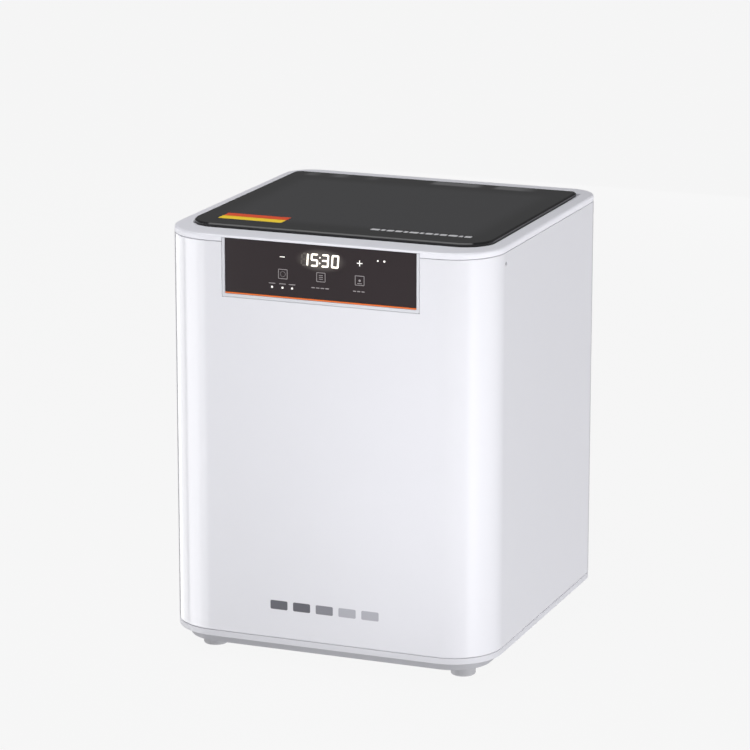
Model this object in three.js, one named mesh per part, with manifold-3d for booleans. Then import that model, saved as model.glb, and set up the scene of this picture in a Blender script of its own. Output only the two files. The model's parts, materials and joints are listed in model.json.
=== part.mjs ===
// Resin wash station: a tall cabinet with a smoked lid on top, a lift-out tank and basket in its
// chamber, and a magnetic stirring drive, UV lamps and electronics around that chamber.
// Millimetres, +Z up, front face towards -Y, origin on the floor under the middle of the cabinet.
import * as THREE from "three";
import { mergeVertices } from "three/addons/utils/BufferGeometryUtils.js";
import Module from "manifold-3d";

const wasm = await Module();
wasm.setup();

// ---------------------------------------------------------------- driving dimensions

const gap = 0.3; // between pieces that touch on the real machine
const bodyWidth = 375;
const bodyDepth = 380;
const halfWidth = bodyWidth / 2;
const halfDepth = bodyDepth / 2;
const frontCorner = 56;
const rearCorner = 34;
const shellWall = 3;
const past = 5; // how far a cutting tool runs past the piece it cuts

const footHeight = 13;
const footRadius = 13.5;
const footX = 146;
const footY = 141;
const plinthInset = 13;
const plinthTop = 24;
const ringTop = 31;
const shellTop = 466;
const deckTop = 473;
const lidTop = 477;

const lidHalfWidth = 171;
const lidFront = -154.5;
const lidRear = 155.7;
const lidThickness = 5;
const lidFrontCorner = 32;
const lidRearCorner = 9;
const lidMargin = 1.2; // between the lid's edge and its recess
const lidUnderside = lidTop - lidThickness;
const recessFloor = 470;
const hingeY = 151.5;
const hingeZ = 468;
const hingeX = 115;
const hingePinRadius = 1.5;
const knuckleRadius = 3.5;
const troughFront = 146;
const troughRear = 162;
const troughFloor = 459.5;

const panelHalfWidth = 109; // the dark touch plate
const panelBottom = 411.9;
const panelTop = 470.3;
const trimHeight = 1.7;
const bezelWidth = 3.5;
const bezelBottom = 406.3;
const panelRecess = 0.7;

const chamberHalfWidth = 164;
const chamberFront = -140;
const chamberRear = 136;
const chamberMiddle = (chamberFront + chamberRear) / 2;
const chamberCorner = 26;
const chamberFloor = 114;
const linerWall = 2;

const tankHalfWidth = 158;
const tankHalfDepth = 132;
const tankWall = 2.5;
const tankBottom = 115;
const tankFloor = 118;
const tankTop = 400;

const basketHalfWidth = 145;
const basketHalfDepth = 118;
const basketBottom = 150;
const basketTop = 335;
const basketWall = 2;
const bailPivotZ = 328;
const bailLength = 62;
const bailRadius = 2;
const bailBend = 14;

const rearPanelHalfWidth = 130;
const rearPanelBottom = 60;
const rearPanelTop = 340;
const rearPanelFace = 187.4;
const fanX = 62;
const fanZ = 240;
const fanSize = 60;
const fanDepth = 15;
const inletX = -95;
const switchX = -52;
const socketZ = 110;
const inletHalfWidth = 14;
const inletHalfHeight = 10.3;
const switchHalfWidth = 7.8;
const switchHalfHeight = 11.3;

// ---------------------------------------------------------------- materials

const material = (color, roughness, metalness, extra = {}) =>
  new THREE.MeshStandardMaterial({ color, roughness, metalness, ...extra });

const whitePlastic = material(0xe9e8ef, 0.32, 0);
const greyPlastic = material(0xcfced4, 0.45, 0);
const darkPlastic = material(0x2b2b2d, 0.5, 0);
const plinthGrey = material(0x8d8c92, 0.6, 0);
const rubber = material(0x9c9ca2, 0.85, 0);
const smoked = material(0x3f3f3f, 0.12, 0, { transparent: true, opacity: 0.85 });
const touchPlate = material(0x39333a, 0.15, 0);
const orange = material(0xc46e32, 0.4, 0.2);
const ledWhite = material(0xfff2dc, 0.4, 0, { emissive: 0xfff2dc });
const circuitGreen = material(0x1f5a36, 0.6, 0);
const steel = material(0xb8bbc0, 0.3, 1);
const reflector = material(0xc9ccd0, 0.25, 1);
const magnetGrey = material(0x6f7277, 0.4, 1);
const tankPlastic = material(0xb9bdc2, 0.35, 0);
const clearPlastic = material(0xe8f0f6, 0.1, 0, { transparent: true, opacity: 0.4 });

// ---------------------------------------------------------------- solids

// A closed geometry as a manifold, for cutting and joining.
function toSolid(geometry) {
  const bare = geometry.clone();
  bare.deleteAttribute("normal");
  bare.deleteAttribute("uv");
  const merged = mergeVertices(bare, 1e-4);
  const vertProperties = new Float32Array(merged.attributes.position.array);
  const triVerts = new Uint32Array(merged.index.array);
  return new wasm.Manifold(new wasm.Mesh({ numProp: 3, vertProperties, triVerts }));
}

function toGeometry(solid) {
  const mesh = solid.getMesh();
  const geometry = new THREE.BufferGeometry();
  geometry.setAttribute("position", new THREE.BufferAttribute(mesh.vertProperties, 3));
  geometry.setIndex(new THREE.BufferAttribute(mesh.triVerts, 1));
  geometry.computeVertexNormals();
  return geometry;
}

// Joins the geometries in `added` into one, then takes away those in `removed`.
function combine(added, removed = []) {
  let solid = toSolid(added[0]);
  for (const piece of added.slice(1)) solid = solid.add(toSolid(piece));
  for (const tool of removed) solid = solid.subtract(toSolid(tool));
  return toGeometry(solid);
}

// A box between two values on each axis.
function block(x0, x1, y0, y1, z0, z1) {
  const box = new THREE.BoxGeometry(x1 - x0, y1 - y0, z1 - z0);
  return box.translate((x0 + x1) / 2, (y0 + y1) / 2, (z0 + z1) / 2);
}

// A round bar from one point to another.
function rod(radius, from, to, sides = 16) {
  const start = new THREE.Vector3(...from);
  const end = new THREE.Vector3(...to);
  const along = end.clone().sub(start);
  const bar = new THREE.CylinderGeometry(radius, radius, along.length(), sides);
  const turn = new THREE.Quaternion().setFromUnitVectors(
    new THREE.Vector3(0, 1, 0),
    along.clone().normalize(),
  );
  const middle = start.add(end).multiplyScalar(0.5);
  return bar.applyQuaternion(turn).translate(middle.x, middle.y, middle.z);
}

// A profile of [radius, height] points turned about the Z axis. It starts and ends on the axis.
function turned(profile, sides = 32) {
  const points = profile.map(([radius, height]) => new THREE.Vector2(radius, height));
  return new THREE.LatheGeometry(points, sides).rotateX(Math.PI / 2);
}

// A rectangle with its own corner radius at the front and at the rear.
function outline(half, front, rear, frontRadius, rearRadius) {
  const quarter = Math.PI / 2;
  const shape = new THREE.Shape();
  shape.absarc(half - frontRadius, front + frontRadius, frontRadius, -quarter, 0);
  shape.absarc(half - rearRadius, rear - rearRadius, rearRadius, 0, quarter);
  shape.absarc(rearRadius - half, rear - rearRadius, rearRadius, quarter, 2 * quarter);
  shape.absarc(frontRadius - half, front + frontRadius, frontRadius, 2 * quarter, 3 * quarter);
  shape.closePath();
  return shape;
}

const bodyOutline = (inset) =>
  outline(
    halfWidth - inset,
    inset - halfDepth,
    halfDepth - inset,
    frontCorner - inset,
    rearCorner - inset,
  );

const lidOutline = (grow) =>
  outline(
    lidHalfWidth + grow,
    lidFront - grow,
    lidRear + grow,
    lidFrontCorner + grow,
    lidRearCorner + grow,
  );

// The chamber's plan, and those of everything nested in it or around it.
const chamberOutline = (grow) =>
  outline(
    chamberHalfWidth + grow,
    chamberFront - grow,
    chamberRear + grow,
    chamberCorner + grow,
    chamberCorner + grow,
  );

const tankOutline = (grow) =>
  outline(
    tankHalfWidth + grow,
    chamberMiddle - tankHalfDepth - grow,
    chamberMiddle + tankHalfDepth + grow,
    chamberCorner - 4 + grow,
    chamberCorner - 4 + grow,
  );

const basketOutline = (grow) =>
  outline(
    basketHalfWidth + grow,
    chamberMiddle - basketHalfDepth - grow,
    chamberMiddle + basketHalfDepth + grow,
    14 + grow,
    14 + grow,
  );

// A flat plate of the given plan between two heights.
function plate(shape, bottom, top, arcSteps = 5) {
  const options = { depth: top - bottom, bevelEnabled: false, curveSegments: arcSteps };
  return new THREE.ExtrudeGeometry(shape, options).translate(0, 0, bottom);
}

// The same, open in the middle: a wall that follows `outer` and is hollow inside `inner`.
function ring(outer, inner, bottom, top, arcSteps = 5) {
  outer.holes.push(inner);
  return plate(outer, bottom, top, arcSteps);
}

// The same plate with its edges rounded by `radius` all round.
function roundedPlate(shape, bottom, top, radius, steps = 2) {
  const options = {
    depth: top - bottom - 2 * radius,
    curveSegments: 5,
    bevelThickness: radius,
    bevelSize: radius,
    bevelOffset: -radius,
    bevelSegments: steps,
  };
  return new THREE.ExtrudeGeometry(shape, options).translate(0, 0, bottom + radius);
}

// A profile drawn in Y and Z, extruded along X.
function alongX(points, x0, x1) {
  const shape = new THREE.Shape(points.map(([y, z]) => new THREE.Vector2(y, z)));
  const options = { depth: x1 - x0, bevelEnabled: false };
  const toYZ = new THREE.Matrix4().set(0, 0, 1, x0, 1, 0, 0, 0, 0, 1, 0, 0, 0, 0, 0, 1);
  return new THREE.ExtrudeGeometry(shape, options).applyMatrix4(toYZ);
}

// ---------------------------------------------------------------- groups, one for each moving body

const machine = new THREE.Group();
const cabinet = new THREE.Group();
const lid = new THREE.Group();
const tank = new THREE.Group();
const basket = new THREE.Group();
machine.add(cabinet, lid, tank);
tank.add(basket);

function add(group, name, geometry, finish, position = [0, 0, 0]) {
  const mesh = new THREE.Mesh(geometry, finish);
  mesh.name = name;
  mesh.position.set(...position);
  group.add(mesh);
  return mesh;
}

const sides = [
  ["left", -1],
  ["right", 1],
];

// ---------------------------------------------------------------- casing

const screwY = -131;
const screwZ = 454;

// A bore right through both side walls, where the side screws hold the top frame in the shell.
function sideBore(radius) {
  return rod(radius, [-halfWidth - past, screwY, screwZ], [halfWidth + past, screwY, screwZ]);
}

function outerShell() {
  const wall = ring(bodyOutline(0), bodyOutline(shellWall), ringTop + gap, shellTop - gap);
  const panelWindow = block(
    -panelHalfWidth - bezelWidth - gap,
    panelHalfWidth + bezelWidth + gap,
    -halfDepth - past,
    -halfDepth + shellWall + past,
    bezelBottom - gap,
    shellTop + past,
  );
  const rearWindow = block(
    -rearPanelHalfWidth,
    rearPanelHalfWidth,
    halfDepth - shellWall - past,
    halfDepth + past,
    rearPanelBottom,
    rearPanelTop,
  );
  return combine([wall], [panelWindow, rearWindow, sideBore(2.6)]);
}

// The deck round the lid: a plate with the lid's recess, a skirt that locates it in the shell,
// and the trough that the lid's rear edge swings down into.
function topFrame() {
  const skirtBottom = 446;
  const notchRear = -176; // the control panel's electronics stand in front of this
  const troughBottom = 456;
  const skirtInset = shellWall + 0.4;
  const deck = ring(bodyOutline(0), chamberOutline(0), shellTop, deckTop);
  const skirt = ring(
    bodyOutline(skirtInset),
    bodyOutline(skirtInset + 3),
    skirtBottom,
    shellTop + 1,
  );
  const troughHalfWidth = lidHalfWidth + 1.5;
  const troughWall = 3;
  const troughBody = block(
    -troughHalfWidth - troughWall,
    troughHalfWidth + troughWall,
    troughFront - troughWall,
    troughRear + troughWall,
    troughBottom,
    shellTop + 1,
  );
  const recess = plate(lidOutline(lidMargin), recessFloor, deckTop + past);
  const trough = block(
    -troughHalfWidth,
    troughHalfWidth,
    troughFront,
    troughRear,
    troughFloor,
    deckTop + past,
  );
  const panelNotch = block(
    -panelHalfWidth - bezelWidth - gap,
    panelHalfWidth + bezelWidth + gap,
    -halfDepth - past,
    notchRear,
    skirtBottom - past,
    panelTop + gap,
  );
  const screwBores = sideBore(1.5);
  return combine([deck, skirt, troughBody], [recess, trough, panelNotch, screwBores]);
}

function baseTray() {
  const pan = plate(bodyOutline(plinthInset), footHeight, plinthTop - gap);
  const hollow = plate(bodyOutline(plinthInset + 3), footHeight + 3, plinthTop + past);
  const slots = [];
  for (let row = 0; row < 6; row += 1) {
    const y = -60 + row * 12;
    slots.push(block(60, 120, y, y + 5, footHeight - past, footHeight + past));
  }
  return combine([pan], [hollow, ...slots]);
}

function foot() {
  const edge = 1.5;
  const profile = [
    [0, 0],
    [footRadius - edge, 0],
    [footRadius, edge],
    [footRadius, footHeight - gap],
    [0, footHeight - gap],
  ];
  return turned(profile, 24);
}

// A pan-head screw along Z with its head at the top; its shank goes down.
function screw(headRadius, headHeight, shankRadius, length) {
  const profile = [
    [0, headHeight - length],
    [shankRadius, headHeight - length],
    [shankRadius, 0],
    [headRadius, 0],
    [headRadius, headHeight * 0.6],
    [headRadius * 0.7, headHeight],
    [0, headHeight],
  ];
  return turned(profile, 12);
}

add(cabinet, "outer_shell", outerShell(), whitePlastic);
add(cabinet, "top_frame", topFrame(), greyPlastic);
add(cabinet, "base_ring", ring(bodyOutline(0), bodyOutline(22), plinthTop, ringTop), greyPlastic);
add(cabinet, "base_tray", baseTray(), plinthGrey);

for (const [side, signX] of sides) {
  add(cabinet, `foot_front_${side}`, foot(), rubber, [signX * footX, -footY, 0]);
  add(cabinet, `foot_rear_${side}`, foot(), rubber, [signX * footX, footY, 0]);
  const sideScrew = add(cabinet, `side_screw_${side}`, screw(2.2, 1.4, 1.2, 4.2), steel);
  sideScrew.position.set(signX * (halfWidth - shellWall), screwY, screwZ);
  sideScrew.rotation.y = (signX * Math.PI) / 2;
}

// ---------------------------------------------------------------- control panel

const panelFace = -halfDepth + panelRecess;
const plateThickness = 2.6;

function panelBezel() {
  const outerHalf = panelHalfWidth + bezelWidth;
  const frame = block(-outerHalf, outerHalf, -halfDepth + 0.2, -184, bezelBottom, panelTop);
  const window = block(
    -panelHalfWidth - gap,
    panelHalfWidth + gap,
    -halfDepth - past,
    panelFace + plateThickness + gap,
    panelBottom - trimHeight - gap,
    panelTop + past,
  );
  const rearWindow = block(
    -panelHalfWidth + 4,
    panelHalfWidth - 4,
    -halfDepth - past,
    -180,
    panelBottom + 3,
    panelTop - 3,
  );
  return combine([frame], [window, rearWindow]);
}

const boardFront = -178.7;
const boardRear = boardFront + 1.7;
const pinRowZ = 447;

function displayModule() {
  const housing = block(-25, 25, panelFace + plateThickness + 0.6, boardFront - gap, 444, 464);
  const pins = [-18, -6, 6, 18].map((x) =>
    rod(0.6, [x, boardFront - 1, pinRowZ], [x, boardRear - 0.2, pinRowZ], 8),
  );
  return combine([housing, ...pins]);
}

function controlBoard() {
  const inBoard = boardRear - 0.5;
  const board = block(-100, 100, boardFront, boardRear, 416, 465);
  const pinSlot = block(-26, 26, boardFront - 1, boardRear + 1, pinRowZ - 1.5, pinRowZ + 1.5);
  const connector = block(60, 84, inBoard, boardRear + 7, 420, 427);
  const chip = block(-70, -56, inBoard, boardRear + 2, 424, 438);
  const buzzer = rod(6, [30, inBoard, 426], [30, boardRear + 9, 426]);
  return combine([board, connector, chip, buzzer], [pinSlot]);
}

add(cabinet, "panel_bezel", panelBezel(), greyPlastic);
add(
  cabinet,
  "panel_glass",
  block(
    -panelHalfWidth,
    panelHalfWidth,
    panelFace,
    panelFace + plateThickness,
    panelBottom,
    panelTop,
  ),
  touchPlate,
);
add(
  cabinet,
  "panel_trim",
  block(
    -panelHalfWidth,
    panelHalfWidth,
    panelFace - 0.2,
    panelFace + plateThickness,
    panelBottom - trimHeight,
    panelBottom - gap,
  ),
  orange,
);
add(cabinet, "display_module", displayModule(), ledWhite);
add(cabinet, "control_board", controlBoard(), circuitGreen);
add(cabinet, "lid_sensor_board", block(-14, 14, -166, -151, 458, 460), circuitGreen);

// ---------------------------------------------------------------- chamber and lamps

const lampBottom = 150;
const lampTop = 420;
const lampHalfWidth = 9;

// Where each lamp sits: the middle of its wall and the turn that faces it out of the chamber.
const lamps = [
  ["left", [-chamberHalfWidth, chamberMiddle], Math.PI / 2],
  ["right", [chamberHalfWidth, chamberMiddle], -Math.PI / 2],
  ["rear", [0, chamberRear], 0],
];

// Shapes of a lamp are drawn for a wall whose chamber side is the plane Y = 0, facing -Y.
function lampPiece(geometry, [, [x, y], turn]) {
  return geometry.rotateZ(turn).translate(x, y, 0);
}

function chamberLiner() {
  const top = shellTop - gap;
  const tub = plate(chamberOutline(linerWall), chamberFloor - linerWall, top);
  const flange = plate(chamberOutline(linerWall + 4), top - 2, top);
  const hollow = plate(chamberOutline(0), chamberFloor, top + past);
  const windows = lamps.map((lamp) =>
    lampPiece(
      block(-lampHalfWidth, lampHalfWidth, -past, past, lampBottom, lampTop),
      lamp,
    ),
  );
  return combine([tub, flange], [hollow, ...windows]);
}

function uvWindow() {
  const pane = block(
    -lampHalfWidth + gap,
    lampHalfWidth - gap,
    0.4,
    linerWall + 1,
    lampBottom + gap,
    lampTop - gap,
  );
  const lip = block(
    -lampHalfWidth - 3,
    lampHalfWidth + 3,
    linerWall + gap,
    linerWall + 1.3,
    lampBottom - 3,
    lampTop + 3,
  );
  return combine([pane, lip]);
}

function uvBar() {
  const back = linerWall + 7;
  const board = block(-lampHalfWidth, lampHalfWidth, back - 2, back, lampBottom, lampTop);
  const chips = [];
  for (let z = lampBottom + 20; z < lampTop; z += 38) {
    chips.push(block(-3, 3, back - 4, back - 1, z - 3, z + 3));
  }
  return combine([board, ...chips]);
}

add(cabinet, "chamber_liner", chamberLiner(), reflector);
for (const lamp of lamps) {
  add(cabinet, `uv_window_${lamp[0]}`, lampPiece(uvWindow(), lamp), clearPlastic);
  add(cabinet, `uv_bar_${lamp[0]}`, lampPiece(uvBar(), lamp), circuitGreen);
}

// ---------------------------------------------------------------- magnetic drive under the chamber

const trayFloor = footHeight + 3;
const bracketTop = 95;

function motorBracket() {
  const top = block(-45, 45, -30, 30, bracketTop - 3, bracketTop);
  const leftLeg = block(-45, -42, -30, 30, trayFloor + gap, bracketTop - 1);
  const rightLeg = block(42, 45, -30, 30, trayFloor + gap, bracketTop - 1);
  const leftToe = block(-60, -42, -30, 30, trayFloor + gap, trayFloor + 3);
  const rightToe = block(42, 60, -30, 30, trayFloor + gap, trayFloor + 3);
  const bore = rod(8, [0, 0, bracketTop - past], [0, 0, bracketTop + past], 24);
  return combine([top, leftLeg, rightLeg, leftToe, rightToe], [bore]);
}

function motorCan() {
  return combine(
    [
      turned([
        [0, 54],
        [19, 54],
        [21, 56],
        [21, bracketTop - 3 - gap],
        [7.5, bracketTop - 3 - gap],
        [7.5, bracketTop - 1],
        [0, bracketTop - 1],
      ]),
    ],
    [rod(3.4, [0, 0, 80], [0, 0, bracketTop + past], 16)],
  );
}

function magnetRotor() {
  const disc = turned([
    [0, 100],
    [9, 100],
    [9, 103],
    [34, 103],
    [34, 110],
    [0, 110],
  ]);
  const magnets = [0, 1, 2, 3].map((step) => {
    const angle = ((step + 0.5) * Math.PI) / 2;
    const x = 24 * Math.cos(angle);
    const y = 24 * Math.sin(angle);
    return rod(6, [x, y, 109], [x, y, 111.2], 12);
  });
  return combine([disc, ...magnets], [rod(2.8, [0, 0, 98], [0, 0, 106], 16)]);
}

function mainboard() {
  const board = block(-150, -75, -110, 10, trayFloor + 8, trayFloor + 10);
  const posts = [];
  for (const x of [-144, -81]) {
    for (const y of [-104, 4]) posts.push(rod(3, [x, y, trayFloor + gap], [x, y, trayFloor + 9], 10));
  }
  const heatsink = block(-140, -120, -90, -50, trayFloor + 9, trayFloor + 26);
  const capacitors = [-30, -12].map((y) => rod(6, [-100, y, trayFloor + 9], [-100, y, trayFloor + 28]));
  return combine([board, ...posts, heatsink, ...capacitors]);
}

const driveCentre = [0, chamberMiddle, 0];
add(cabinet, "motor_bracket", motorBracket(), steel, driveCentre);
add(cabinet, "motor", motorCan(), magnetGrey, driveCentre);
add(cabinet, "mainboard", mainboard(), circuitGreen);
add(cabinet, "power_supply", block(-150, -75, 40, 135, trayFloor + gap, trayFloor + 38), steel);
add(machine, "motor_shaft", rod(2.5, [0, 0, 82], [0, 0, 105.5]), steel, driveCentre);
add(machine, "magnet_rotor", magnetRotor(), magnetGrey, driveCentre);

// ---------------------------------------------------------------- back: panel, fan, inlet, switch

const panelBack = 184.2;
const rearScrewX = 120;
const rearScrewZ = [72, 328];

// Horizontal air slots centred on x and z.
function airSlots(x, z) {
  const slots = [];
  for (let row = -3; row <= 3; row += 1) {
    const height = z + row * 7.5;
    slots.push(block(x - 24, x + 24, panelBack - past, halfDepth + past, height - 1.8, height + 1.8));
  }
  return slots;
}

function rearPanel() {
  const flange = block(
    -rearPanelHalfWidth - 6,
    rearPanelHalfWidth + 6,
    panelBack,
    halfDepth - shellWall - gap,
    rearPanelBottom - 6,
    rearPanelTop + 6,
  );
  const face = block(
    -rearPanelHalfWidth + gap,
    rearPanelHalfWidth - gap,
    panelBack + 1,
    rearPanelFace,
    rearPanelBottom + gap,
    rearPanelTop - gap,
  );
  // A rectangular hole right through, centred on x at the sockets' height.
  const socketHole = (x, half, halfHeight) =>
    block(x - half, x + half, 170, 195, socketZ - halfHeight, socketZ + halfHeight);
  const inletHole = socketHole(inletX, inletHalfWidth, inletHalfHeight);
  const switchHole = socketHole(switchX, switchHalfWidth, switchHalfHeight);
  const screwHoles = [];
  for (const x of [-rearScrewX, rearScrewX]) {
    for (const z of rearScrewZ) screwHoles.push(rod(1.9, [x, 170, z], [x, 195, z], 12));
  }
  const holes = [inletHole, switchHole, ...screwHoles, ...airSlots(fanX, fanZ), ...airSlots(-fanX, fanZ)];
  return combine([flange, face], holes);
}

const fanBack = panelBack - gap - fanDepth;

function fanFrame() {
  const half = fanSize / 2;
  const box = block(-half, half, 0, fanDepth, -half, half);
  const bore = rod(28, [0, -past, 0], [0, fanDepth + past, 0], 32);
  const hub = rod(13, [0, 0, 0], [0, 2, 0], 24);
  const struts = [0, 1, 2].map((step) =>
    block(-1.2, 1.2, 0, 2, 0, 29).rotateY((step * 2 * Math.PI) / 3),
  );
  const casing = combine([box], [bore]);
  return combine([casing, hub, ...struts]).translate(fanX, fanBack, fanZ);
}

function fanRotor() {
  const hub = rod(12.5, [0, 2.6, 0], [0, 14, 0], 24);
  const blades = [0, 1, 2, 3, 4, 5, 6].map((step) =>
    block(-0.6, 0.6, -6, 6, 11, 26.8)
      .rotateZ(0.75)
      .translate(0, 8, 0)
      .rotateY((step * 2 * Math.PI) / 7),
  );
  return combine([hub, ...blades]);
}

// A three-pin socket; its body goes in through the panel behind the flange.
function powerInlet() {
  const bodyHalfWidth = inletHalfWidth - 0.4;
  const bodyHalfHeight = inletHalfHeight - 0.4;
  const flange = block(-19, 19, rearPanelFace + gap, 189.8, -13, 13);
  const body = block(-bodyHalfWidth, bodyHalfWidth, 162, 189, -bodyHalfHeight, bodyHalfHeight);
  const cavity = block(
    2 - bodyHalfWidth,
    bodyHalfWidth - 2,
    173,
    195,
    2 - bodyHalfHeight,
    bodyHalfHeight - 2,
  );
  const pins = [
    [-7, -2.5],
    [0, 2],
    [7, -2.5],
  ].map(([x, z]) => block(x - 1, x + 1, 172, 187, z - 2, z + 2));
  const socket = combine([flange, body], [cavity]);
  return combine([socket, ...pins]).translate(inletX, 0, socketZ);
}

const rockerY = 182.5;
const rockerTilt = THREE.MathUtils.degToRad(7);

function switchBody() {
  const bodyHalfWidth = switchHalfWidth - 0.4;
  const bodyHalfHeight = switchHalfHeight - 0.3;
  const flange = block(-9.5, 9.5, rearPanelFace + gap, 188.9, -13.5, 13.5);
  const body = block(-bodyHalfWidth, bodyHalfWidth, 166, 188, -bodyHalfHeight, bodyHalfHeight);
  const cavity = block(-6.2, 6.2, 176.5, 195, -9.8, 9.8);
  const box = combine([flange, body], [cavity]);
  const axle = rod(0.9, [-7, rockerY, 0], [7, rockerY, 0], 10);
  return combine([box, axle]).translate(switchX, 0, socketZ);
}

// The key, drawn about its own axle: a shallow V faces out, and a slot at the back clips on the axle.
function switchRocker() {
  const key = alongX(
    [
      [-2.6, -5.5],
      [3.6, -8.2],
      [4.8, -8.2],
      [3.4, 0],
      [4.8, 8.2],
      [3.6, 8.2],
      [-2.6, 5.5],
    ],
    -5.8,
    5.8,
  );
  const seat = rod(1.25, [-8, 0, 0], [8, 0, 0], 12);
  const slot = block(-8, 8, -4, 0, -1.25, 1.25);
  return combine([key], [seat, slot]);
}

add(cabinet, "rear_panel", rearPanel(), greyPlastic);
for (const [side, signX] of sides) {
  for (const [level, z] of [
    ["lower", rearScrewZ[0]],
    ["upper", rearScrewZ[1]],
  ]) {
    const rearScrew = add(cabinet, `rear_screw_${side}_${level}`, screw(3.2, 1.8, 1.5, 10), steel);
    rearScrew.position.set(signX * rearScrewX, rearPanelFace + gap, z);
    rearScrew.rotation.x = -Math.PI / 2;
  }
}
add(cabinet, "fan_frame", fanFrame(), darkPlastic);
add(machine, "fan_rotor", fanRotor(), darkPlastic, [fanX, fanBack, fanZ]);
add(cabinet, "power_inlet", powerInlet(), darkPlastic);
add(cabinet, "switch_body", switchBody(), darkPlastic);
const rocker = add(machine, "switch_rocker", switchRocker(), darkPlastic);
rocker.position.set(switchX, rockerY, socketZ);
rocker.rotation.x = -rockerTilt;

// ---------------------------------------------------------------- lid and its hinges

function lidFrame() {
  const outer = chamberOutline(-2);
  const inner = chamberOutline(-8);
  return ring(outer, inner, lidUnderside - 8, lidUnderside - gap);
}

function lidGasket() {
  const halfWidth = lidHalfWidth - 2;
  const front = chamberFront - 8;
  const rear = chamberRear + 6;
  const width = 4;
  return ring(
    outline(halfWidth, front, rear, 30, 20),
    outline(halfWidth - width, front + width, rear - width, 30 - width, 20 - width),
    recessFloor + 0.2,
    lidUnderside - gap,
  );
}

// A knuckle's side view: a round head on the hinge axis, joined to a foot at the given height.
function knuckle(footFront, footRear, footZ, x0, x1) {
  const head = rod(knuckleRadius, [x0, hingeY, hingeZ], [x1, hingeY, hingeZ], 24);
  const neck = block(
    x0,
    x1,
    Math.min(footFront, footRear),
    Math.max(footFront, footRear),
    Math.min(footZ, hingeZ),
    Math.max(footZ, hingeZ),
  );
  return [head, neck];
}

const armHalfWidth = 11.7;
const earInner = 12;
const earOuter = 16;
const pinHole = (reach) => rod(hingePinRadius + gap, [-reach, hingeY, hingeZ], [reach, hingeY, hingeZ], 16);

function lidArm() {
  const pieces = knuckle(
    hingeY - knuckleRadius,
    hingeY + knuckleRadius - 0.5,
    lidUnderside - gap,
    -armHalfWidth,
    armHalfWidth,
  );
  return combine(pieces, [pinHole(30)]);
}

function hingeBase() {
  const leafBottom = troughFloor + gap;
  const leaf = block(-earOuter, earOuter, troughFront + 1, hingeY + 4, leafBottom, leafBottom + 2);
  const ears = [
    ...knuckle(hingeY - 3, hingeY + 1, troughFloor + gap, -earOuter, -earInner),
    ...knuckle(hingeY - 3, hingeY + 1, troughFloor + gap, earInner, earOuter),
  ];
  return combine([leaf, ...ears], [pinHole(30)]);
}

add(lid, "lid_panel", roundedPlate(lidOutline(0), lidUnderside, lidTop, 1.4), smoked);
add(lid, "lid_frame", lidFrame(), darkPlastic);
add(lid, "lid_gasket", lidGasket(), rubber);
add(lid, "lid_magnet", block(-10, 10, -130.5, -123, 469, lidUnderside - gap), magnetGrey);
for (const [side, signX] of sides) {
  const place = [signX * hingeX, 0, 0];
  const pin = rod(hingePinRadius, [-17.5, hingeY, hingeZ], [17.5, hingeY, hingeZ]);
  add(lid, `lid_arm_${side}`, lidArm(), darkPlastic, place);
  add(cabinet, `hinge_base_${side}`, hingeBase(), darkPlastic, place);
  add(cabinet, `hinge_pin_${side}`, pin, steel, place);
}

// ---------------------------------------------------------------- tank, impeller, basket

function washTank() {
  const tub = plate(tankOutline(0), tankBottom, tankTop);
  const rim = plate(tankOutline(4), tankTop - 3, tankTop);
  const hollow = plate(tankOutline(-tankWall), tankFloor, tankTop + past);
  const grips = [];
  const holes = [];
  for (const [, signX] of sides) {
    const inner = signX * (tankHalfWidth - tankWall);
    const outer = signX * (tankHalfWidth + 4);
    const x0 = Math.min(inner, outer);
    const x1 = Math.max(inner, outer);
    grips.push(block(x0, x1, chamberMiddle - 50, chamberMiddle + 50, tankTop - 3, tankTop + 18));
    holes.push(
      block(x0 - past, x1 + past, chamberMiddle - 40, chamberMiddle + 40, tankTop - 1, tankTop + 12),
    );
  }
  return combine([tub, rim, ...grips], [hollow, ...holes]);
}

function impeller() {
  const hub = turned([
    [0, tankFloor + 1],
    [12, tankFloor + 1],
    [12, tankFloor + 14],
    [9, tankFloor + 16],
    [0, tankFloor + 16],
  ]);
  const disc = rod(26, [0, 0, tankFloor + 1], [0, 0, tankFloor + 4], 32);
  const blades = [0, 1, 2, 3, 4, 5].map((step) =>
    block(8, 44, -1.2, 1.2, tankFloor + 1, tankFloor + 12).rotateZ((step * Math.PI) / 3),
  );
  const bore = rod(3.4, [0, 0, tankFloor - past], [0, 0, tankFloor + 12], 16);
  return combine([hub, disc, ...blades], [bore]);
}

const slotRows = [-2, -1, 0, 1, 2].map((row) => chamberMiddle + row * 38);
const slotHalf = 6;

// The basket's walls: upright slots all round, a rim turned inwards and a bore for the handle.
function washBasket() {
  const zLow = basketBottom + 22;
  const zHigh = basketTop - 30;
  const slots = [];
  for (const column of [-3, -2, -1, 0, 1, 2, 3]) {
    const x = column * 36;
    slots.push(block(x - slotHalf, x + slotHalf, -200, 200, zLow, zHigh));
  }
  for (const y of slotRows) slots.push(block(-200, 200, y - slotHalf, y + slotHalf, zLow, zHigh));
  const walls = ring(basketOutline(0), basketOutline(-basketWall), basketBottom, basketTop);
  const rim = ring(basketOutline(0), basketOutline(-6), basketTop - 2, basketTop);
  const pivots = rod(bailRadius + 0.4, [-200, chamberMiddle, bailPivotZ], [200, chamberMiddle, bailPivotZ]);
  return combine([walls, rim], [...slots, pivots]);
}

// A flat grid inside the walls.
function basketFloor() {
  const grid = plate(basketOutline(-basketWall - gap), basketBottom, basketBottom + basketWall);
  const slots = [];
  for (const y of slotRows) {
    for (const x of [-66, 66]) {
      slots.push(block(x - 54, x + 54, y - slotHalf, y + slotHalf, basketBottom - past, basketTop));
    }
  }
  return combine([grid], slots);
}

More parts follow.
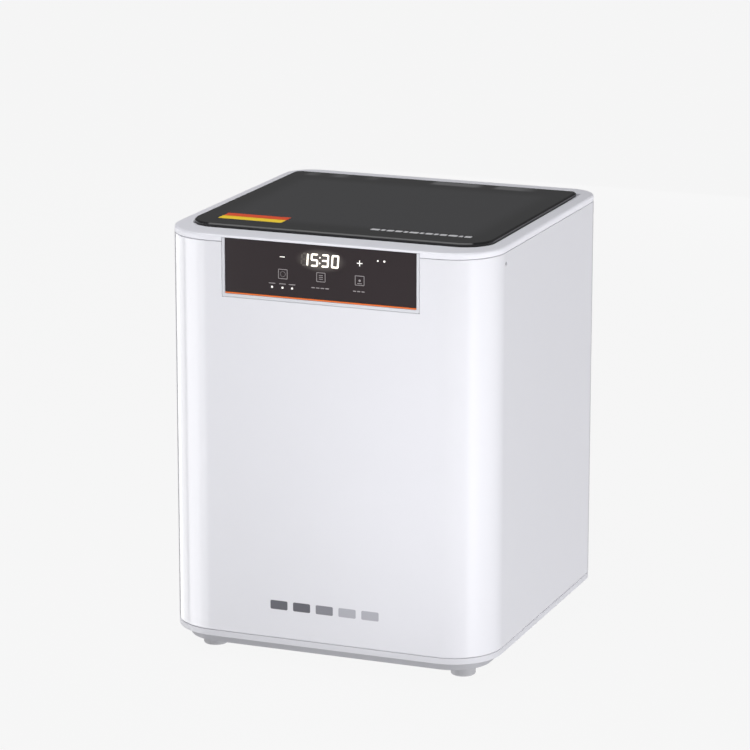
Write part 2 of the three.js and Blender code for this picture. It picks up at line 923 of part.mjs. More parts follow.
// The swing handle, drawn upright about its own pivot line along X.
function basketHandle() {
  const armX = basketHalfWidth + 3.5;
  const innerX = basketHalfWidth - 5;
  const pieces = [
    rod(bailRadius, [-armX, 0, bailLength - bailBend], [bailBend - armX, 0, bailLength], 8),
    rod(bailRadius, [bailBend - armX, 0, bailLength], [armX - bailBend, 0, bailLength], 8),
    rod(bailRadius, [armX - bailBend, 0, bailLength], [armX, 0, bailLength - bailBend], 8),
  ];
  const ball = (x, z) => new THREE.SphereGeometry(bailRadius, 8, 6).translate(x, 0, z);
  for (const [, signX] of sides) {
    pieces.push(rod(bailRadius, [signX * armX, 0, 0], [signX * armX, 0, bailLength - bailBend], 8));
    pieces.push(rod(bailRadius, [signX * innerX, 0, 0], [signX * armX, 0, 0], 8));
    pieces.push(ball(signX * armX, 0));
    pieces.push(ball(signX * armX, bailLength - bailBend));
    pieces.push(ball(signX * (armX - bailBend), bailLength));
  }
  return combine(pieces);
}

// At rest the handle lies forward on the basket's rim.
const bailRise = basketTop + bailRadius + gap - bailPivotZ;
const bailRest = Math.PI / 2 - Math.asin(bailRise / (bailLength - bailBend));

add(tank, "wash_tank", washTank(), tankPlastic);
add(tank, "impeller_axle", rod(3, [0, 0, tankFloor + gap], [0, 0, tankFloor + 11]), steel, driveCentre);
add(tank, "impeller", impeller(), darkPlastic, driveCentre);
add(basket, "wash_basket", washBasket(), darkPlastic);
add(basket, "basket_floor", basketFloor(), darkPlastic);
for (const [side, signX] of sides) {
  for (const [end, signY] of [
    ["front", -1],
    ["rear", 1],
  ]) {
    const leg = rod(5, [0, 0, tankFloor + gap], [0, 0, basketBottom - gap]);
    const place = [signX * 120, chamberMiddle + signY * 100, 0];
    add(basket, `basket_leg_${end}_${side}`, leg, darkPlastic, place);
  }
}
const bail = add(basket, "basket_handle", basketHandle(), steel, [0, chamberMiddle, bailPivotZ]);
bail.rotation.x = bailRest;

export default machine;
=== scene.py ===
"""Looks of a resin wash station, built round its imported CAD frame. Lengths are in millimetres until
a mesh is made; Blender's own units are metres."""

import json
import math

import bmesh
import bpy
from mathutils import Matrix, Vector

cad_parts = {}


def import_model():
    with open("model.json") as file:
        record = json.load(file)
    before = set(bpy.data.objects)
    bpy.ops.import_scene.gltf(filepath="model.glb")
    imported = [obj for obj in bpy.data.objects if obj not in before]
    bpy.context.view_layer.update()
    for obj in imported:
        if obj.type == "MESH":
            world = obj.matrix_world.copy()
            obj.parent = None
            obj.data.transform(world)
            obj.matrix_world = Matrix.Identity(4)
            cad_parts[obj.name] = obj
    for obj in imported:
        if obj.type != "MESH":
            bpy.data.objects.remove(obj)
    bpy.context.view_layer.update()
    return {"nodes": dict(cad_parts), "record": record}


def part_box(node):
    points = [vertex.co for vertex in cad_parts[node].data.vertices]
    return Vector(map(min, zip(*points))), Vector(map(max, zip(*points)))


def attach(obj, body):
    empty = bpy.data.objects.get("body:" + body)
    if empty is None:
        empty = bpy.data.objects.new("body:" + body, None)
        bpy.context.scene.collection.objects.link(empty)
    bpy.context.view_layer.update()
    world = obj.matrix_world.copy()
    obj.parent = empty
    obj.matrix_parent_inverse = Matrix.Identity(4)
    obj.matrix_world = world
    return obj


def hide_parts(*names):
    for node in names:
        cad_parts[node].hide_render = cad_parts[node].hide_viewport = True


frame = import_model()
nodes = frame["nodes"]

MM = 0.001


def limits(node):
    """A CAD node's lowest and highest corner, in millimetres."""
    low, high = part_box(node)
    return low / MM, high / MM


# ---------------------------------------------------------------- sizes read from the CAD frame

SHELL_LOW, SHELL_HIGH = limits("outer_shell")
DECK_LOW, DECK_HIGH = limits("top_frame")
RING_LOW, RING_HIGH = limits("base_ring")
TRAY_LOW, TRAY_HIGH = limits("base_tray")
LID_LOW, LID_HIGH = limits("lid_panel")
BEZEL_LOW, BEZEL_HIGH = limits("panel_bezel")
GLASS_LOW, GLASS_HIGH = limits("panel_glass")
TRIM_LOW = limits("panel_trim")[0]
REAR_LOW, REAR_HIGH = limits("rear_panel")

PRINT = 0.1  # the casing and the lid stand this far inside the CAD box, so that prints fit on them
HALF_WIDTH = SHELL_HIGH.x - PRINT
FRONT = SHELL_LOW.y + PRINT
REAR = SHELL_HIGH.y
FRONT_CORNER = 56.0
REAR_CORNER = 34.0
WALL = 3.0
GAP = 0.3
FAR = 20.0  # how far a cutting tool runs past the piece it cuts
CORNER_STEPS = 18  # straight pieces in a rounded corner
SHARP_ANGLE = 34  # degrees; an edge that turns more than this is bevelled
WELD_DISTANCE = 0.00001  # metres

# the lid and the frame round it
LID_FRONT_CORNER = 32.0
LID_REAR_CORNER = 9.0
LID_MARGIN = 1.2
DECK_UNDERSIDE = 466.0
RECESS_FLOOR = 470.0
CHAMBER_HALF = 164.0
CHAMBER_FRONT = -140.0
CHAMBER_REAR = 136.0
CHAMBER_CORNER = 26.0

# the trough in which the lid's rear edge swings down
TROUGH_FRONT = 146.0
TROUGH_REAR = 162.0
TROUGH_FLOOR = 459.5
TROUGH_SIDE = 1.5
TROUGH_WALL = 3.0
TROUGH_BASE = 3.5

PANEL_NOTCH = 14.0  # how far behind the front the notch for the control panel reaches

# the small screw high on each side
SCREW_Y = -131.0
SCREW_Z = 454.0
SCREW_HOLE = 2.3
SCREW_THREAD = 1.5

# the opening in the rear wall and what its cover holds
REAR_WINDOW_HALF = 130.0
REAR_WINDOW = (60.0, 340.0)
VENT_X = 62.0
VENT_Z = 240.0
VENT_PITCH = 7.5
VENT_SLOT_HALF = 24.0
VENT_SLOT_RISE = 1.8
SOCKET_Z = 110.0
SOCKETS = ((-95.0, 14.0, 10.3), (-52.0, 7.8, 11.3))  # the inlet and the switch: x, half width, half height
COVER_SCREW_X = 120.0
COVER_SCREW_Z = (72.0, 328.0)
COVER_SCREW_RADIUS = 1.9

# the prints on the touch plate: how far their middle is from the machine's, and the timer's height
PRINT_MIDDLE = 1.3
TIMER_Z = 454.0


# ---------------------------------------------------------------- building meshes

def rounded(half, front, rear, front_radius, rear_radius, z, steps=CORNER_STEPS):
    """A rectangle with rounded corners, symmetrical in X, as points going round from the front right."""
    corners = (
        (half - front_radius, front + front_radius, front_radius, -90),
        (half - rear_radius, rear - rear_radius, rear_radius, 0),
        (rear_radius - half, rear - rear_radius, rear_radius, 90),
        (front_radius - half, front + front_radius, front_radius, 180),
    )
    points = []
    for x, y, radius, start in corners:
        for step in range(steps + 1):
            angle = math.radians(start + 90 * step / steps)
            points.append((x + radius * math.cos(angle), y + radius * math.sin(angle), z))
    return points


def body_plan(inset, z):
    """The casing's outline at a height, moved inwards by an inset."""
    return rounded(
        HALF_WIDTH - inset, FRONT + inset, REAR - inset, FRONT_CORNER - inset, REAR_CORNER - inset, z
    )


def lid_plan(inset, z):
    """The lid's outline at a height, moved inwards by an inset."""
    return rounded(
        LID_HIGH.x - inset,
        LID_LOW.y + inset,
        LID_HIGH.y - inset,
        LID_FRONT_CORNER - inset,
        max(LID_REAR_CORNER - inset, 0.5),
        z,
    )


def chamber_plan(inset, z):
    """The chamber mouth's outline at a height, moved inwards by an inset."""
    corner = CHAMBER_CORNER - inset
    return rounded(
        CHAMBER_HALF - inset, CHAMBER_FRONT + inset, CHAMBER_REAR - inset, corner, corner, z
    )


def circle_plan(x, y, radius, z, steps=64):
    turn = 2 * math.pi / steps
    return [
        (x + radius * math.cos(step * turn), y + radius * math.sin(step * turn), z)
        for step in range(steps)
    ]


def contour(plan, profile, steps=5):
    """Loops of one plan through a profile of (inset, height, radius) points. A point with a radius is
    rounded off towards the points before and after it."""
    loops = []
    for index, (inset, z, radius) in enumerate(profile):
        if radius == 0:
            loops.append(plan(inset, z))
            continue
        here = Vector((inset, z))
        before = (Vector(profile[index - 1][:2]) - here).normalized() * radius
        after = (Vector(profile[(index + 1) % len(profile)][:2]) - here).normalized() * radius
        for step in range(steps + 1):
            angle = math.pi / 2 * step / steps
            point = here + before * (1 - math.sin(angle)) + after * (1 - math.cos(angle))
            loops.append(plan(point.x, point.y))
    return loops


def band(mesh, low, high):
    """Faces all the way round between two loops of a mesh that hold equally many points."""
    for here in range(len(low)):
        ahead = (here + 1) % len(low)
        mesh.faces.new((low[here], low[ahead], high[ahead], high[here]))


def skin(loops, closed):
    """A mesh over loops that hold equally many points. Closed joins the last loop to the first;
    otherwise the two ends are capped."""
    mesh = bmesh.new()
    rows = [[mesh.verts.new(point) for point in loop] for loop in loops]
    pairs = list(zip(rows, rows[1:]))
    if closed:
        pairs.append((rows[-1], rows[0]))
    else:
        mesh.faces.new(list(reversed(rows[0])))
        mesh.faces.new(rows[-1])
    for low, high in pairs:
        band(mesh, low, high)
    return mesh


def prism(points, low, high, axis="z"):
    """A flat outline pushed between two values along an axis. Outline points are the other two
    coordinates in the order x, y, z."""
    def at(point, depth):
        first, second = point
        return {
            "x": (depth, first, second),
            "y": (first, depth, second),
            "z": (first, second, depth),
        }[axis]

    mesh = bmesh.new()
    near = [mesh.verts.new(at(point, low)) for point in points]
    far = [mesh.verts.new(at(point, high)) for point in points]
    mesh.faces.new(near)
    mesh.faces.new(far)
    band(mesh, near, far)
    bmesh.ops.recalc_face_normals(mesh, faces=mesh.faces)
    return mesh


def pill(x0, x1, z0, z1, radius, steps=6):
    """Points of an upright rectangle with rounded corners, in X and Z."""
    points = []
    for x, z, start in (
        (x1 - radius, z0 + radius, -90),
        (x1 - radius, z1 - radius, 0),
        (x0 + radius, z1 - radius, 90),
        (x0 + radius, z0 + radius, 180),
    ):
        for step in range(steps + 1):
            angle = math.radians(start + 90 * step / steps)
            points.append((x + radius * math.cos(angle), z + radius * math.sin(angle)))
    return points


def block(x0, x1, y0, y1, z0, z1):
    return prism([(x0, y0), (x1, y0), (x1, y1), (x0, y1)], z0, z1)


def cylinder(x, z, radius, y0, y1, steps=32):
    """A round bar along Y."""
    return prism([(px, pz) for px, pz, _ in circle_plan(x, z, radius, 0, steps)], y0, y1, "y")


def joined(*meshes):
    """Several separate closed skins in one mesh."""
    whole = bmesh.new()
    for mesh in meshes:
        part = bpy.data.meshes.new("part")
        mesh.to_mesh(part)
        mesh.free()
        whole.from_mesh(part)
        bpy.data.meshes.remove(part)
    return whole


def to_object(name, mesh):
    bmesh.ops.scale(mesh, vec=(MM, MM, MM), verts=mesh.verts)
    data = bpy.data.meshes.new(name)
    mesh.to_mesh(data)
    mesh.free()
    obj = bpy.data.objects.new(name, data)
    bpy.context.scene.collection.objects.link(obj)
    return obj


def bake(obj):
    """Replaces the mesh by what its modifiers make of it."""
    graph = bpy.context.evaluated_depsgraph_get()
    made = bpy.data.meshes.new_from_object(obj.evaluated_get(graph))
    obj.modifiers.clear()
    obj.data = made


def boolean(obj, operation, mesh):
    tool = to_object("tool", mesh)
    change = obj.modifiers.new("boolean", "BOOLEAN")
    change.operation = operation
    change.solver = "EXACT"
    change.object = tool
    bake(obj)
    bpy.data.objects.remove(tool, do_unlink=True)


def soften(obj, width, segments=3, weld=False):
    """Rounds the sharp edges and gives the flat faces flat shading between them."""
    if weld:
        merge = obj.modifiers.new("weld", "WELD")
        merge.merge_threshold = WELD_DISTANCE
    bevel = obj.modifiers.new("bevel", "BEVEL")
    bevel.width = width * MM
    bevel.segments = segments
    bevel.limit_method = "ANGLE"
    bevel.angle_limit = math.radians(SHARP_ANGLE)
    bevel.use_clamp_overlap = True
    bevel.miter_outer = "MITER_ARC"
    normals = obj.modifiers.new("normals", "WEIGHTED_NORMAL")
    normals.keep_sharp = True
    for face in obj.data.polygons:
        face.use_smooth = True


def place(obj, material, body, width=0.0, segments=3):
    """Gives a finished mesh its material, its soft edges and the body it moves with."""
    obj.data.materials.clear()
    obj.data.materials.append(material)
    if width:
        soften(obj, width, segments)
    else:
        for face in obj.data.polygons:
            face.use_smooth = True
    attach(obj, body)
    return obj


# ---------------------------------------------------------------- materials

def srgb(red, green, blue):
    """A colour given in screen values of 0 to 255, as linear light."""
    def linear(value):
        value /= 255
        return value / 12.92 if value <= 0.04045 else ((value + 0.055) / 1.055) ** 2.4

    return (linear(red), linear(green), linear(blue), 1.0)


def surface(name, color, roughness, mottle=0.02, rough_spread=0.04, grain=900.0, depth=0.02, **constants):
    """A plain material whose colour, roughness and relief vary finely over the surface: the colour by
    mottle, as a share of itself, and the roughness by rough_spread. grain is in waves a metre, and
    depth is the strength of the relief."""
    material = bpy.data.materials.new(name)
    material.use_nodes = True
    tree = material.node_tree
    shader = tree.nodes["Principled BSDF"]
    place_node = tree.nodes.new("ShaderNodeTexCoord")

    cloud = tree.nodes.new("ShaderNodeTexNoise")
    cloud.inputs["Scale"].default_value = 22.0
    cloud.inputs["Detail"].default_value = 5.0
    tree.links.new(place_node.outputs["Object"], cloud.inputs["Vector"])
    tint = tree.nodes.new("ShaderNodeMix")
    tint.data_type = "RGBA"
    tint.inputs["A"].default_value = [channel * (1 - mottle) for channel in color[:3]] + [1]
    tint.inputs["B"].default_value = [min(channel * (1 + mottle), 1) for channel in color[:3]] + [1]
    tree.links.new(cloud.outputs["Fac"], tint.inputs["Factor"])
    tree.links.new(tint.outputs["Result"], shader.inputs["Base Color"])

    speck = tree.nodes.new("ShaderNodeTexNoise")
    speck.inputs["Scale"].default_value = grain
    speck.inputs["Detail"].default_value = 3.0
    tree.links.new(place_node.outputs["Object"], speck.inputs["Vector"])
    spread = tree.nodes.new("ShaderNodeMapRange")
    spread.inputs["To Min"].default_value = max(roughness - rough_spread, 0.02)
    spread.inputs["To Max"].default_value = min(roughness + rough_spread, 1.0)
    tree.links.new(speck.outputs["Fac"], spread.inputs["Value"])
    tree.links.new(spread.outputs["Result"], shader.inputs["Roughness"])
    relief = tree.nodes.new("ShaderNodeBump")
    relief.inputs["Strength"].default_value = depth
    relief.inputs["Distance"].default_value = 0.0002
    tree.links.new(speck.outputs["Fac"], relief.inputs["Height"])
    tree.links.new(relief.outputs["Normal"], shader.inputs["Normal"])
    for socket, value in constants.items():
        shader.inputs[socket.replace("_", " ")].default_value = value
    return material


def object_place(tree):
    """The socket that says where a point of the surface is, in metres."""
    node = next(node for node in tree.nodes if node.type == "TEX_COORD")
    return node.outputs["Object"]


def brushed(name, color, roughness, stretch):
    """Metal with fine scratches along one axis: stretch is the noise scale in X, Y and Z."""
    material = surface(name, color, roughness, 0.05, 0.05, 300.0, 0.05, Metallic=1.0)
    tree = material.node_tree
    scale = tree.nodes.new("ShaderNodeMapping")
    scale.inputs["Scale"].default_value = stretch
    tree.links.new(object_place(tree), scale.inputs["Vector"])
    for node in tree.nodes:
        if node.type == "TEX_NOISE" and node.inputs["Scale"].default_value > 100:
            tree.links.new(scale.outputs["Vector"], node.inputs["Vector"])
    return material


def glowing(name, color, strength):
    """A lit print behind the touch plate, a little uneven like light through a diffuser."""
    material = surface(name, color, 0.5, 0.04)
    tree = material.node_tree
    shader = tree.nodes["Principled BSDF"]
    shader.inputs["Emission Color"].default_value = color
    shader.inputs["Emission Strength"].default_value = strength
    return material


def ramp(tree, value, start, end, low=0.0, high=1.0):
    """A value eased from low to high while the input goes from start to end."""
    node = tree.nodes.new("ShaderNodeMapRange")
    node.interpolation_type = "SMOOTHSTEP"
    node.inputs["From Min"].default_value = start
    node.inputs["From Max"].default_value = end
    node.inputs["To Min"].default_value = low
    node.inputs["To Max"].default_value = high
    tree.links.new(value, node.inputs["Value"])
    return node.outputs["Result"]


def product(tree, *values):
    result = values[0]
    for value in values[1:]:
        node = tree.nodes.new("ShaderNodeMath")
        node.operation = "MULTIPLY"
        tree.links.new(result, node.inputs[0])
        tree.links.new(value, node.inputs[1])
        result = node.outputs["Value"]
    return result


def window(tree, value, low, high, soft):
    """1 between low and high, easing to 0 over a soft margin outside each."""
    return product(
        tree, ramp(tree, value, low - soft, low), ramp(tree, value, high, high + soft, 1.0, 0.0)
    )


def coordinates(tree):
    """Where a point of the surface is, in metres, as separate X, Y and Z."""
    split = tree.nodes.new("ShaderNodeSeparateXYZ")
    tree.links.new(object_place(tree), split.inputs["Vector"])
    return split.outputs["X"], split.outputs["Y"], split.outputs["Z"]


def tinted(tree, amount, color):
    """Mixes another colour into the surface's own, by an amount that varies over the surface."""
    shader = tree.nodes["Principled BSDF"]
    own = shader.inputs["Base Color"].links[0].from_socket
    mix = tree.nodes.new("ShaderNodeMix")
    mix.data_type = "RGBA"
    mix.inputs["B"].default_value = color
    tree.links.new(amount, mix.inputs["Factor"])
    tree.links.new(own, mix.inputs["A"])
    tree.links.new(mix.outputs["Result"], shader.inputs["Base Color"])


def painted_lid_reflections_and_hinges(material):
    """Smoked plastic with a painted reflection that lightens its middle over the chamber, and lighter
    painted patches along its rear that stand partly for a reflection and partly for the hinge parts under
    it. Places and margins are in metres."""
    tree = material.node_tree
    x, y, _ = coordinates(tree)
    # painted reflection: the middle of the lid, over the chamber, is lightened
    across = window(tree, x, -0.13, 0.13, 0.03)
    along = window(tree, y, -0.1, 0.1, 0.03)
    tinted(tree, product(tree, across, along), srgb(50, 50, 52))
    # painted reflection and painted hinge shapes: lighter patches along the rear edge
    patches = tree.nodes.new("ShaderNodeTexNoise")
    patches.noise_dimensions = "1D"
    patches.inputs["Scale"].default_value = 16.0
    patches.inputs["Detail"].default_value = 1.0
    tree.links.new(x, patches.inputs["W"])
    spots = ramp(tree, patches.outputs["Fac"], 0.48, 0.6)
    rear_strip = window(tree, y, 0.138, 0.148, 0.007)
    strip_ends = window(tree, x, -0.15, 0.15, 0.01)
    tinted(tree, product(tree, spots, rear_strip, strip_ends), srgb(104, 104, 106))


def glow_behind(material, middle, half_width, half_height, strength):
    """Light that bleeds through a dark plate round its display. Places and sizes are in metres."""
    tree = material.node_tree
    shader = tree.nodes["Principled BSDF"]
    scale = tree.nodes.new("ShaderNodeMapping")
    scale.vector_type = "TEXTURE"
    scale.inputs["Location"].default_value = middle
    scale.inputs["Scale"].default_value = (half_width, 1.0, half_height)
    ball = tree.nodes.new("ShaderNodeTexGradient")
    ball.gradient_type = "SPHERICAL"
    tree.links.new(object_place(tree), scale.inputs["Vector"])
    tree.links.new(scale.outputs["Vector"], ball.inputs["Vector"])
    shader.inputs["Emission Color"].default_value = (1.0, 0.93, 0.84, 1.0)
    fade = ramp(tree, ball.outputs["Fac"], 0.0, 0.6, 0.0, strength)
    tree.links.new(fade, shader.inputs["Emission Strength"])


WHITE = surface(
    "white_plastic",
    srgb(222, 222, 228),
    0.30,
    0.006,
    0.03,
    1100.0,
    0.02,
    Coat_Weight=0.8,
    Coat_Roughness=0.14,
)
RIM = surface("rim_plastic", srgb(226, 226, 233), 0.42, 0.01, 0.04, 1000.0, 0.05)
RING = surface("ring_plastic", srgb(206, 206, 212), 0.42, 0.01, 0.04, 1000.0, 0.05)
BEZEL = surface("bezel_plastic", srgb(204, 205, 211), 0.45, 0.01, 0.04, 1000.0, 0.05)
PLINTH = surface("plinth_plastic", srgb(166, 166, 171), 0.6, 0.02, 0.05, 800.0, 0.1)
FOOT = surface("foot_rubber", srgb(168, 168, 172), 0.8, 0.04, 0.06, 600.0, 0.2)
TOUCH = surface("touch_plate", srgb(52, 46, 48), 0.16, 0.03, 0.03, 700.0, 0.01, Specular_IOR_Level=0.3)
ORANGE = surface("orange_trim", srgb(236, 112, 34), 0.35, 0.04, 0.05, 900.0, 0.04)
GLOW = glowing("timer_glow", (1.0, 0.93, 0.82, 1.0), 0.9)
KEY_GLOW = glowing("key_glow", (1.0, 0.96, 0.92, 1.0), 0.45)
UNLIT = surface("timer_unlit_segments", srgb(84, 78, 74), 0.4, 0.05)
ICON = glowing("icon_print", srgb(150, 144, 146), 0.02)
MARK_DARK = surface("mark_dark", srgb(92, 92, 100), 0.4)
MARK_MIDDLE = surface("mark_middle", srgb(128, 128, 136), 0.4)
MARK_LIGHT = surface("mark_light", srgb(168, 168, 176), 0.4)
SMOKED = surface(
    "smoked_plastic", srgb(34, 34, 35), 0.12, 0.05, 0.04, 500.0, 0.006, Specular_IOR_Level=0.4
)
painted_lid_reflections_and_hinges(SMOKED)
glow_behind(TOUCH, (PRINT_MIDDLE * MM, GLASS_LOW.y * MM, TIMER_Z * MM), 0.031, 0.014, 0.09)
DARK = surface("dark_plastic", srgb(48, 48, 50), 0.45, 0.05, 0.06, 900.0, 0.08)
BASKET = surface("basket_plastic", srgb(104, 106, 110), 0.5, 0.04, 0.06, 900.0, 0.08)
GASKET = surface("gasket_rubber", srgb(34, 34, 35), 0.75, 0.06, 0.06, 500.0, 0.15)
LABEL = surface("label_yellow", srgb(250, 214, 44), 0.4, 0.03, 0.04, 700.0, 0.03)
LABEL_BAND = surface("label_band", srgb(226, 78, 36), 0.4, 0.03, 0.04, 700.0, 0.03)
LABEL_EDGE = surface("label_edge", srgb(40, 38, 36), 0.4, 0.03)
LID_PRINT = surface("lid_print", srgb(205, 205, 208), 0.4, 0.03)
BOARD = surface("circuit_board", srgb(34, 92, 58), 0.5, 0.12, 0.08, 260.0, 0.15)
STEEL = brushed("brushed_steel", srgb(196, 198, 202), 0.28, (0.2, 4.0, 4.0))
# screws coloured near black: painted shade for the holes they sit in
SCREW = brushed("screw_steel_painted_hole_shade", srgb(58, 58, 62), 0.45, (2.0, 2.0, 2.0))
SHEET = brushed("folded_aluminium", srgb(200, 201, 204), 0.35, (0.3, 3.0, 3.0))
MOTOR = brushed("motor_steel", srgb(150, 152, 157), 0.4, (3.0, 3.0, 0.3))
REFLECTOR = brushed("reflector_metal", srgb(208, 210, 214), 0.22, (3.0, 3.0, 0.2))
LAMP = surface("lamp_window", srgb(226, 234, 244), 0.12, 0.02, 0.03, 600.0, 0.01)
TANK = surface("tank_plastic", srgb(188, 192, 198), 0.35, 0.02, 0.05, 700.0, 0.05)

SLOT_LOOK = {
    "body_white": WHITE,
    "rim_grey": RIM,
    "plinth_grey": PLINTH,
    "foot_rubber": FOOT,
    "touch_plate": TOUCH,
    "accent_orange": ORANGE,
    "display": GLOW,
    "circuit_board": BOARD,
    "smoked_lid": SMOKED,
    "dark_plastic": DARK,
    "gasket": GASKET,
    "steel": STEEL,
    "black_screw": SCREW,
    "bare_aluminium": SHEET,
    "motor_metal": MOTOR,
    "reflector": REFLECTOR,
    "lamp_window": LAMP,
    "tank_plastic": TANK,
}


# ---------------------------------------------------------------- casing, plinth and feet

def panel_tool(low, high):
    """The notch in which the control panel stands, through the front wall."""
    half = BEZEL_HIGH.x + GAP
    return block(-half, half, FRONT - FAR, FRONT + PANEL_NOTCH, low, high)


def side_bore(radius):
    """A round bar through both sides where the side screws sit."""
    outline = [(y, z) for y, z, _ in circle_plan(SCREW_Y, SCREW_Z, radius, 0, 24)]
    return prism(outline, -HALF_WIDTH - FAR, HALF_WIDTH + FAR, "x")


def casing():
    """The white shell: open at the top and bottom, with the panel's notch and the rear opening."""
    top, bottom = SHELL_HIGH.z, SHELL_LOW.z
    edge = 0.8
    loops = contour(body_plan, [(0, bottom, edge), (0, top, edge), (WALL, top, 0), (WALL, bottom, 0)])
    obj = to_object("casing", skin(loops, True))
    boolean(obj, "DIFFERENCE", panel_tool(BEZEL_LOW.z - GAP, top + FAR))
    half = REAR_WINDOW_HALF
    boolean(obj, "DIFFERENCE", block(-half, half, REAR - FAR, REAR + FAR, *REAR_WINDOW))
    boolean(obj, "DIFFERENCE", side_bore(SCREW_HOLE))
    place(obj, WHITE, "cabinet", 0.3)
    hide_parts("outer_shell")


def deck():
    """The frame round the lid: a rounded outer edge, the lid's recess and a skirt inside the casing."""
    top = DECK_HIGH.z
    underside = DECK_UNDERSIDE
    skirt = DECK_LOW.z
    # the points beyond the rim and the recess only steer the rounding, so their loops are left out
    outer = contour(body_plan, [(0, underside, 0.5), (0, top, 2.6), (9, top, 0)], 6)[:-1]
    recess = contour(lid_plan, [(-9, top, 0), (-LID_MARGIN, top, 0.8), (-LID_MARGIN, RECESS_FLOOR, 0)])[1:]
    well = contour(chamber_plan, [(-6, RECESS_FLOOR, 0), (0, RECESS_FLOOR, 0.8), (0, underside, 0)])[1:]
    skirt_outside = WALL + 0.4
    skirt_inside = WALL + 3.4
    inner = [
        body_plan(skirt_inside, underside),
        body_plan(skirt_inside, skirt),
        body_plan(skirt_outside, skirt),
        body_plan(skirt_outside, underside),
    ]
    obj = to_object("deck", skin(outer + recess + well + inner, True))
    half = LID_HIGH.x + TROUGH_SIDE
    trough_body = block(
        -half - TROUGH_WALL,
        half + TROUGH_WALL,
        TROUGH_FRONT - TROUGH_WALL,
        TROUGH_REAR + TROUGH_WALL,
        TROUGH_FLOOR - TROUGH_BASE,
        underside + 1,
    )
    trough = block(-half, half, TROUGH_FRONT, TROUGH_REAR, TROUGH_FLOOR, top + FAR)
    boolean(obj, "UNION", trough_body)
    boolean(obj, "DIFFERENCE", trough)
    boolean(obj, "DIFFERENCE", panel_tool(skirt - FAR, BEZEL_HIGH.z + GAP))
    boolean(obj, "DIFFERENCE", side_bore(SCREW_THREAD))
    place(obj, RIM, "cabinet", 0.4)
    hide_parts("top_frame")


def plinth_ring():
    """The light ring under the casing."""
    low, high = RING_LOW.z, RING_HIGH.z
    width = 22.0
    loops = contour(body_plan, [(0, low, 1.0), (0, high, 1.0), (width, high, 0), (width, low, 0)])
    obj = to_object("plinth_ring", skin(loops, True))
    place(obj, RING, "cabinet", 0.3)
    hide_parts("base_ring")


def plinth():
    """The set-back floor pan, with a row of air slots under the power supply."""
    low, high = TRAY_LOW.z, TRAY_HIGH.z
    inset = TRAY_LOW.x + HALF_WIDTH
    outer = contour(body_plan, [(inset, low, 1.2), (inset, high, 0.4), (inset + WALL, high, 0)])
    inner = [body_plan(inset + WALL, low + WALL)]
    obj = to_object("plinth", skin(outer + inner, False))
    slot_start, slot_end, first_slot = 60, 120, -60
    slot_width, slot_pitch = 5, 12
    for row in range(6):
        y = first_slot + row * slot_pitch
        slot = prism(pill(slot_start, slot_end, y, y + slot_width, 2.4), low - FAR, low + FAR)
        boolean(obj, "DIFFERENCE", slot)
    place(obj, PLINTH, "cabinet", 0.3)
    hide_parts("base_tray")


def foot(node):
    """A round rubber foot with a hollow sole and a groove under its flange."""
    low, high = limits(node)
    x, y = (low.x + high.x) / 2, (low.y + high.y) / 2
    radius = (high.x - low.x) / 2
    # inset, height and rounding, from the middle of the sole up to the top
    profile = [
        (radius - 5.0, 1.0, 0),
        (radius - 4.6, 0.0, 0),
        (0.0, 0.0, 1.8),
        (0.0, 8.6, 0.5),
        (0.6, 8.9, 0),
        (0.6, 9.4, 0),
        (0.0, 9.7, 0.4),
        (0.0, high.z, 0.4),
        (radius - 3.0, high.z, 0),
    ]
    loops = contour(lambda inset, z: circle_plan(x, y, radius - inset, z), profile, 4)
    obj = to_object(node + "_rubber", skin(loops, False))
    place(obj, FOOT, "cabinet", 0.2)
    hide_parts(node)


def rear_cover():
    """The plate over the rear opening: air slots, two sockets and four screw holes."""
    low, high = REAR_LOW, REAR_HIGH
    bottom, top = REAR_WINDOW
    half = REAR_WINDOW_HALF - GAP
    obj = to_object("rear_cover", block(low.x, high.x, low.y, REAR - WALL - GAP, low.z, high.z))
    face = block(-half, half, low.y + 1, high.y, bottom + GAP, top - GAP)
    boolean(obj, "UNION", face)
    near, far = low.y - FAR, high.y + FAR
    holes = []
    reach, rise = VENT_SLOT_HALF, VENT_SLOT_RISE
    for x in (-VENT_X, VENT_X):
        for row in range(-3, 4):
            z = VENT_Z + row * VENT_PITCH
            slot = pill(x - reach, x + reach, z - rise, z + rise, rise - 0.01)
            holes.append(prism(slot, near, far, "y"))
    for x, half_width, half_height in SOCKETS:
        low_z, high_z = SOCKET_Z - half_height, SOCKET_Z + half_height
        holes.append(block(x - half_width, x + half_width, near, far, low_z, high_z))
    for x in (-COVER_SCREW_X, COVER_SCREW_X):
        for z in COVER_SCREW_Z:
            holes.append(cylinder(x, z, COVER_SCREW_RADIUS, near, far, 24))
    boolean(obj, "DIFFERENCE", joined(*holes))
    place(obj, RIM, "cabinet", 0.25)
    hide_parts("rear_panel")


casing()
deck()
plinth_ring()
plinth()
for corner in ("front_left", "front_right", "rear_left", "rear_right"):
    foot("foot_" + corner)
rear_cover()


# ---------------------------------------------------------------- control panel

def bezel():
    """The light frame round the touch plate: open to the front, with a lip behind the plate."""
    low, high = BEZEL_LOW, BEZEL_HIGH
    outline = pill(low.x, high.x, low.z, high.z, 1.6)
    obj = to_object("panel_frame", prism(outline, low.y, high.y, "y"))
    opening = block(
        GLASS_LOW.x - GAP,
        GLASS_HIGH.x + GAP,
        low.y - FAR,
        GLASS_HIGH.y + GAP,
        TRIM_LOW.z - GAP,
        high.z + FAR,
    )
    boolean(obj, "DIFFERENCE", opening)
    side_lip, level_lip = 4, 3
    rear = block(
        GLASS_LOW.x + side_lip,
        GLASS_HIGH.x - side_lip,
        low.y,
        high.y + FAR,
        GLASS_LOW.z + level_lip,
        high.z - level_lip,
    )
    boolean(obj, "DIFFERENCE", rear)
    place(obj, BEZEL, "cabinet", 0.35)
    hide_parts("panel_bezel")


